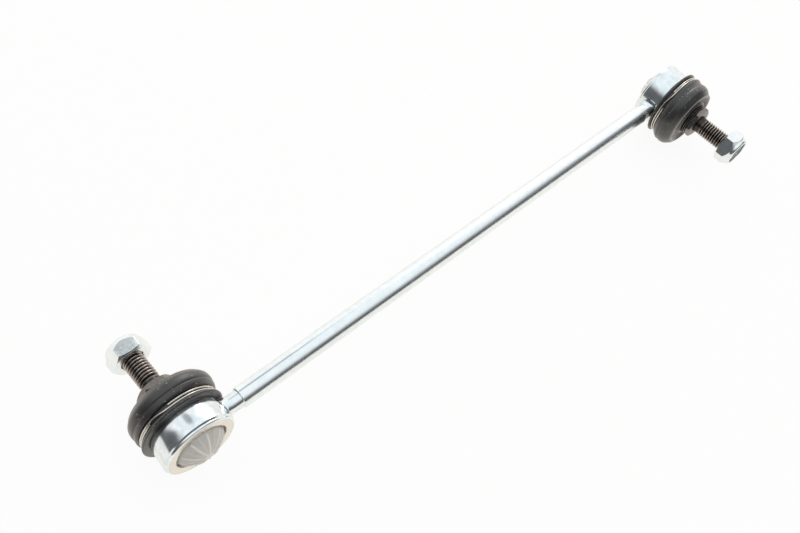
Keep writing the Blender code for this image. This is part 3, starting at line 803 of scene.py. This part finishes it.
# Painted shade with oil: the thread roots are painted nearly black.
oil_and_shade_share = add_node(tree, "ShaderNodeAttribute", attribute_name="oil_and_groove_shade").outputs["Fac"]
place_in_part = add_node(tree, "ShaderNodeTexCoord").outputs["Object"]
patina = add_node(
    tree, "ShaderNodeTexNoise", {"Vector": place_in_part, "Scale": scale_for(1.4), "Detail": 4.0}
)
crest_tone = add_node(
    tree, "ShaderNodeMix",
    {0: patina.outputs["Fac"], 6: linear_colour("#a0948d"), 7: linear_colour("#e0d8d1")},
    data_type="RGBA",
)
stud_tone = add_node(
    tree, "ShaderNodeMix", {0: oil_and_shade_share, 6: crest_tone.outputs[2], 7: linear_colour("#2a2421")},
    data_type="RGBA",
)
tree.links.new(stud_tone.outputs[2], shader.inputs["Base Color"])
stud_gloss = add_node(
    tree, "ShaderNodeMapRange", {"Value": patina.outputs["Fac"], "To Min": 0.22, "To Max": 0.42}
)
tree.links.new(stud_gloss.outputs[0], shader.inputs["Roughness"])
crystal = add_node(
    tree, "ShaderNodeBump",
    {"Height": patina.outputs["Fac"], "Strength": 0.2, "Distance": 0.05 * MM},
)
tree.links.new(crystal.outputs[0], shader.inputs["Normal"])
print("phosphate finish")

# %% [markdown]
# ## The ball stud
# Ball, neck, boot seat and collar are one turned piece; the collar was hexagonal
# bar, so it keeps flats for a 16 mm spanner.  The M10 thread has a pitch of
# 1.5 mm.  It is a screwed spin: one tooth's outline climbs one pitch in a turn,
# neighbouring turns are welded, and the raw ends are cut square and closed.
# Towards both ends the tooth fades out, as a rolled thread does.

# %% Cut the thread and turn the stud
PITCH, CREST_RADIUS, ROOT_RADIUS, BLANK_RADIUS = 1.5, 4.95, 4.05, 4.55
THREAD_START, STUD_END, RUN_OUT = 28.4, 50.0, 1.6
POINT_LENGTH, POINT_SLOPE = 1.1, 0.9
STEPS_PER_TURN = 48


def screw_tooth(crest, root, low, high):
    tooth = [(root, 0.0), (root, 0.19), (crest, 0.66), (crest, 0.84), (root, 1.31), (root, PITCH)]
    bm = bmesh.new()
    points = [bm.verts.new((radius, low - PITCH + rise, 0)) for radius, rise in tooth]
    edges = [bm.edges.new(pair) for pair in zip(points, points[1:])]
    turns = math.ceil((high - low) / PITCH) + 2
    bmesh.ops.spin(
        bm, geom=points + edges, cent=(0, 0, 0), axis=(0, 1, 0),
        dvec=(0, PITCH / STEPS_PER_TURN, 0), angle=2 * math.pi * turns,
        steps=STEPS_PER_TURN * turns, use_merge=False,
    )
    bmesh.ops.remove_doubles(bm, verts=bm.verts, dist=0.002)
    for height, clear_high in ((low, False), (high, True)):
        bmesh.ops.bisect_plane(
            bm, geom=bm.verts[:] + bm.edges[:] + bm.faces[:], dist=0.0005, plane_co=(0, height, 0),
            plane_no=(0, 1, 0), clear_outer=clear_high, clear_inner=not clear_high,
        )
    return bm


def cut_stud_thread():
    bm = screw_tooth(CREST_RADIUS, ROOT_RADIUS, THREAD_START, STUD_END)
    for v in bm.verts:
        radius = math.hypot(v.co.x, v.co.z)
        grown = fade(v.co.y, THREAD_START, THREAD_START + RUN_OUT)
        wanted = BLANK_RADIUS + (radius - BLANK_RADIUS) * grown
        past_point = max(0.0, v.co.y - (STUD_END - POINT_LENGTH))
        wanted = min(wanted, CREST_RADIUS - POINT_SLOPE * past_point)
        v.co.x *= wanted / radius
        v.co.z *= wanted / radius
    rims = [e for e in bm.edges if e.is_boundary]
    bmesh.ops.holes_fill(bm, edges=rims, sides=0)
    bmesh.ops.recalc_face_normals(bm, faces=bm.faces)
    # Roots painted dark: the oil they hold and painted shade in the grooves.
    oil_and_groove_shade = bm.verts.layers.float.new("oil_and_groove_shade")
    for v in bm.verts:
        groove_shade_and_oil = 1 - fade(math.hypot(v.co.x, v.co.z), ROOT_RADIUS + 0.3, CREST_RADIUS)
        v[oil_and_groove_shade] = 0.6 if v.co.y > STUD_END - 0.05 else groove_shade_and_oil
    return bm


BALL_RADIUS, BALL_FLAT, BALL_NECK = 9.5, -8.8, 4.6
COLLAR_FLATS = 16.0


def turn_stud_body():
    outline = [(0, BALL_FLAT, 0)]
    low, high = math.asin(BALL_FLAT / BALL_RADIUS), math.acos(BALL_NECK / BALL_RADIUS)
    for i in range(25):
        a = low + (high - low) * i / 24
        outline.append((BALL_RADIUS * math.cos(a), BALL_RADIUS * math.sin(a), 0))
    outline += [(BALL_NECK, 14.0, 0.6), (6.5, 17.5, 0.3), (6.5, 24.0, 0), (4.85, 24.0, 0),
                (4.85, 26.4, 0.2), (BLANK_RADIUS, 27.0, 0.3), (BLANK_RADIUS, THREAD_START, 0),
                (0, THREAD_START, 0)]
    body = turn_on_lathe(outline, 96, closed=False)
    collar_corner = COLLAR_FLATS / math.sqrt(3) + 0.05
    disc = turn_on_lathe(
        [(0, 22.7, 0), (collar_corner - 1.3, 22.7, 0.1), (collar_corner, 23.4, 0.1),
         (collar_corner, 24.9, 0.1), (collar_corner - 1.3, 25.6, 0.1), (0, 25.6, 0)],
        96, closed=False,
    )
    collar = join_or_cut(disc, cut_hexagon_bar(COLLAR_FLATS, 21.0, 27.0, 0.2), "INTERSECT")
    stud = join_or_cut(body, collar, "UNION")
    oil_and_groove_shade = stud.verts.layers.float.new("oil_and_groove_shade")
    for v in stud.verts:
        radius = math.hypot(v.co.x, v.co.z)
        v[oil_and_groove_shade] = 0.6 if radius > 7.6 else 0.75 if v.co.y > 25.4 and radius > 4.9 else 0.93
    return stud


for side, place in JOINT_PLACES.items():
    body = finish_piece(
        side + "_stud_body", turn_stud_body(), place, stud_phosphate,
        [side + "_ball_stud"],
    )
    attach(body, side + "_stud")
    thread = finish_piece(
        side + "_stud_thread", cut_stud_thread(), place, stud_phosphate,
        [side + "_ball_stud"], crisp_degrees=40,
    )
    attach(thread, side + "_stud")

# %% [markdown]
# ## Blue passivated zinc and natural nylon
# Nuts are zinc plated and passivated blue, so their white metal has a cool cast.
# They are cold forged, so their flats have no tool lines, only a fine grain.  The
# insert is natural nylon, a milky white.

# %% Nut finishes
blue_zinc = zinc_finish(
    "blue_passivated_zinc_on_forged_steel", "#f3f6f6", "#e8eef0", (1.1, 1.1, 1.1),
    (0.16, 0.24), 0.015,
)
insert_nylon, tree, shader = new_finish("natural_nylon", Roughness=0.42, IOR=1.53)
place_in_part = add_node(tree, "ShaderNodeTexCoord").outputs["Object"]
moulding = add_node(
    tree, "ShaderNodeTexNoise", {"Vector": place_in_part, "Scale": scale_for(2.5), "Detail": 3.0}
)
nylon_tone = add_node(
    tree, "ShaderNodeMix",
    {0: moulding.outputs["Fac"], 6: linear_colour("#d3d8da"), 7: linear_colour("#e9edee")},
    data_type="RGBA",
)
tree.links.new(nylon_tone.outputs[2], shader.inputs["Base Color"])
print("nut finishes")

# %% [markdown]
# ## Lock nuts
# A 17 mm hexagon with cone chamfers, and above it a low round collar whose edge is
# crimped over the nylon.  The two nuts are the same, but the near one is screwed
# on a little further.  A nut's own thread is left as a plain hole, because the
# stud or the nylon always stands in it.

# %% Make the nuts and their inserts
NUT_OUTLINE = [
    (5.9, 0, 0.1), (7.7, 0, 0.1), (7.95, 0.3, 0.05), (8.25, 0.34, 0.05), (9.87, 1.15, 0),
    (9.87, 5.1, 0), (8.3, 7.5, 0.25), (8.1, 8.6, 0.4), (7.5, 9.4, 0.4), (6.4, 9.4, 0.12),
    (6.4, 8.8, 0.1), (7.3, 8.8, 0), (7.3, 5.9, 0), (5.25, 5.9, 0.1), (5.25, 0.65, 0.1),
]
INSERT_OUTLINE = [(5.25, 6.2, 0.2), (7.0, 6.2, 0.2), (7.0, 8.5, 0.35), (5.25, 8.5, 0.45)]
NUT_STARTS = {"near": 41.6, "far": 43.5}
NUT_FLATS = 17.0
for side, place in JOINT_PLACES.items():
    seated = place @ Matrix.Translation((0, NUT_STARTS[side] * MM, 0))
    nut_shape = join_or_cut(
        turn_on_lathe(NUT_OUTLINE, 96), cut_hexagon_bar(NUT_FLATS, -1.0, 11.0, 0.15), "INTERSECT"
    )
    nut = finish_piece(
        side + "_nut_body", nut_shape, seated, blue_zinc, [side + "_lock_nut"]
    )
    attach(nut, side + "_nut")
    insert = finish_piece(
        side + "_insert_ring", turn_on_lathe(INSERT_OUTLINE, 96), seated, insert_nylon,
        [side + "_nut_insert"],
    )
    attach(insert, side + "_insert")

# %% [markdown]
# ## Camera
# The picture was taken from above the near joint with a fairly short lens.  The
# camera's place and turn come from fitting the round outlines of both joints.

# %% Set the camera
camera_data = bpy.data.cameras.new("view_of_link")
camera = bpy.data.objects.new("view_of_link", camera_data)
bpy.context.scene.collection.objects.link(camera)
SENSOR_WIDTH = 36.0
PICTURE_WIDTH, FOCAL_LENGTH_IN_PIXELS = 800, 850.8
camera_data.sensor_width = SENSOR_WIDTH
camera_data.lens = FOCAL_LENGTH_IN_PIXELS / PICTURE_WIDTH * SENSOR_WIDTH
camera_data.clip_start = 0.01
right = Vector((0.73302, -0.66912, 0.12233))
upward = Vector((0.51014, 0.65975, 0.55181))
backward = Vector((-0.44993, -0.34208, 0.82495))
turn = Matrix((right, upward, backward)).transposed().to_4x4()
camera_place = Vector((-0.22189, -0.13136, 0.33452))
camera.matrix_world = Matrix.Translation(camera_place) @ turn
bpy.context.scene.camera = camera
print("lens:", round(camera_data.lens, 2), "mm")

# %% [markdown]
# ## Table and light
# The link lies on its boots on a white table.  Bright metal shows the room more
# than itself, so the room matters.  The table looks white to the camera, slightly
# warm in the metal, and keeps a trace of the shadow.

# %% White table
TABLE_SIZE, TABLE_GAP = 6.0, 0.0001
MIRRORED_WHITE, SEEN_WHITE = 0.87, 0.93
bpy.ops.mesh.primitive_plane_add(size=TABLE_SIZE, location=(0, 0, cad_box[0].z - TABLE_GAP))
table_top = bpy.context.object
table_top.name = "white_table"
table_white = bpy.data.materials.new("white_card")
table_white.use_nodes = True
tree = table_white.node_tree
tree.nodes.clear()
ray = add_node(tree, "ShaderNodeLightPath")
mirrored = add_node(
    tree, "ShaderNodeMath",
    {0: ray.outputs["Is Glossy Ray"], 1: ray.outputs["Is Transmission Ray"]}, operation="MAXIMUM",
)
mirrored_share = add_node(
    tree, "ShaderNodeMath", {0: mirrored.outputs[0], 1: MIRRORED_WHITE}, operation="MULTIPLY"
)
seen_share = add_node(
    tree, "ShaderNodeMath", {0: ray.outputs["Is Camera Ray"], 1: SEEN_WHITE}, operation="MULTIPLY"
)
glow_share = add_node(
    tree, "ShaderNodeMath", {0: mirrored_share.outputs[0], 1: seen_share.outputs[0]},
    operation="MAXIMUM",
)
glow_tone = add_node(
    tree, "ShaderNodeMix",
    {0: ray.outputs["Is Camera Ray"], 6: (1.03, 1.0, 0.945, 1), 7: (1, 1, 1, 1)}, data_type="RGBA",
)
card = add_node(tree, "ShaderNodeBsdfDiffuse", {"Color": linear_colour("#fbf8f1")})
glow = add_node(tree, "ShaderNodeEmission", {"Color": glow_tone.outputs[2], "Strength": 1.0})
blend = add_node(
    tree, "ShaderNodeMixShader", {0: glow_share.outputs[0], 1: card.outputs[0], 2: glow.outputs[0]}
)
add_node(tree, "ShaderNodeOutputMaterial", {"Surface": blend.outputs[0]})
table_top.data.materials.append(table_white)
print("white table")

# %% [markdown]
# ## The room
# The room is white all round and a little blue overhead.  On the side where the
# camera stands it is dark low down.  The dark part reaches higher to the camera's
# left than to its right, and a small gap shows between two panels overhead.  Each
# edge is a smooth step of the direction that a mirrored ray takes.

# %% Where the room is dark
world = bpy.data.worlds.new("studio_room")
bpy.context.scene.world = world
world.use_nodes = True
tree = world.node_tree
tree.nodes.clear()
direction = add_node(tree, "ShaderNodeTexCoord").outputs["Generated"]
height = add_node(tree, "ShaderNodeSeparateXYZ", {0: direction}).outputs["Z"]
level = add_node(tree, "ShaderNodeVectorMath", {0: direction, 1: (1, 1, 0)}, operation="MULTIPLY")
heading = add_node(tree, "ShaderNodeVectorMath", {0: level.outputs[0]}, operation="NORMALIZE")
to_camera = add_node(
    tree, "ShaderNodeVectorMath", {0: heading.outputs[0], 1: (-0.5, -0.866, 0)},
    operation="DOT_PRODUCT",
)
to_left = add_node(
    tree, "ShaderNodeVectorMath", {0: heading.outputs[0], 1: (-0.7071, 0.7071, 0)},
    operation="DOT_PRODUCT",
)
around = add_node(
    tree, "ShaderNodeMapRange",
    {"Value": to_camera.outputs["Value"], "From Min": -0.31, "From Max": -0.14},
    interpolation_type="SMOOTHSTEP",
)
dark_edge = add_node(
    tree, "ShaderNodeMapRange",
    {"Value": to_left.outputs["Value"], "From Min": -1.0, "To Min": 0.35, "To Max": 0.58},
)
low_down = add_node(
    tree, "ShaderNodeMapRange",
    {"Value": height, "From Min": 0.9, "From Max": dark_edge.outputs[0]},
    interpolation_type="SMOOTHSTEP",
)
dark_share = add_node(
    tree, "ShaderNodeMath", {0: around.outputs[0], 1: low_down.outputs[0]}, operation="MULTIPLY"
)
print("dark side of the room")

# %% Colours of the room
WHITE_WALL, BLUE_CEILING = (1.06, 1.06, 1.06, 1), (0.96, 1.02, 1.05, 1)
DARK_PANEL = (0.12, 0.125, 0.132, 1)
overhead = add_node(
    tree, "ShaderNodeMapRange", {"Value": height, "From Min": 0.7, "From Max": 0.84},
    interpolation_type="SMOOTHSTEP",
)
room = add_node(
    tree, "ShaderNodeMix", {0: overhead.outputs[0], 6: WHITE_WALL, 7: BLUE_CEILING},
    data_type="RGBA",
)
gap_heading = Vector((0.11, 0.55, 0.828))
in_gap = add_node(
    tree, "ShaderNodeVectorMath", {0: direction, 1: gap_heading}, operation="DOT_PRODUCT"
)
gap_share = add_node(
    tree, "ShaderNodeMapRange",
    {"Value": in_gap.outputs["Value"], "From Min": 0.984, "From Max": 0.9935, "To Max": 0.72},
    interpolation_type="SMOOTHSTEP",
)
dark_total = add_node(
    tree, "ShaderNodeMath", {0: dark_share.outputs[0], 1: gap_share.outputs[0]}, operation="MAXIMUM"
)
lit = add_node(
    tree, "ShaderNodeMix", {0: dark_total.outputs[0], 6: room.outputs[2], 7: DARK_PANEL},
    data_type="RGBA",
)
ray = add_node(tree, "ShaderNodeLightPath")
shown = add_node(
    tree, "ShaderNodeMix", {0: ray.outputs["Is Camera Ray"], 6: lit.outputs[2], 7: (1, 1, 1, 1)},
    data_type="RGBA",
)
sky = add_node(tree, "ShaderNodeBackground", {"Color": shown.outputs[2], "Strength": 1.0})
add_node(tree, "ShaderNodeOutputWorld", {"Surface": sky.outputs[0]})
print("room light ready")

# %% Softbox
lamp_data = bpy.data.lights.new("softbox", "AREA")
lamp_data.shape = "RECTANGLE"
lamp_data.size = 0.45
lamp_data.size_y = 0.5
lamp_data.energy = 2.4
lamp = bpy.data.objects.new("softbox", lamp_data)
bpy.context.scene.collection.objects.link(lamp)
lamp.location = (0.82, 0.6, 0.56)
lamp.rotation_mode = "QUATERNION"
lamp.rotation_quaternion = Vector(lamp.location).to_track_quat("Z", "Y")
print("softbox:", lamp_data.energy, "W")

# %% Colour management
bpy.context.scene.view_settings.view_transform = "Standard"
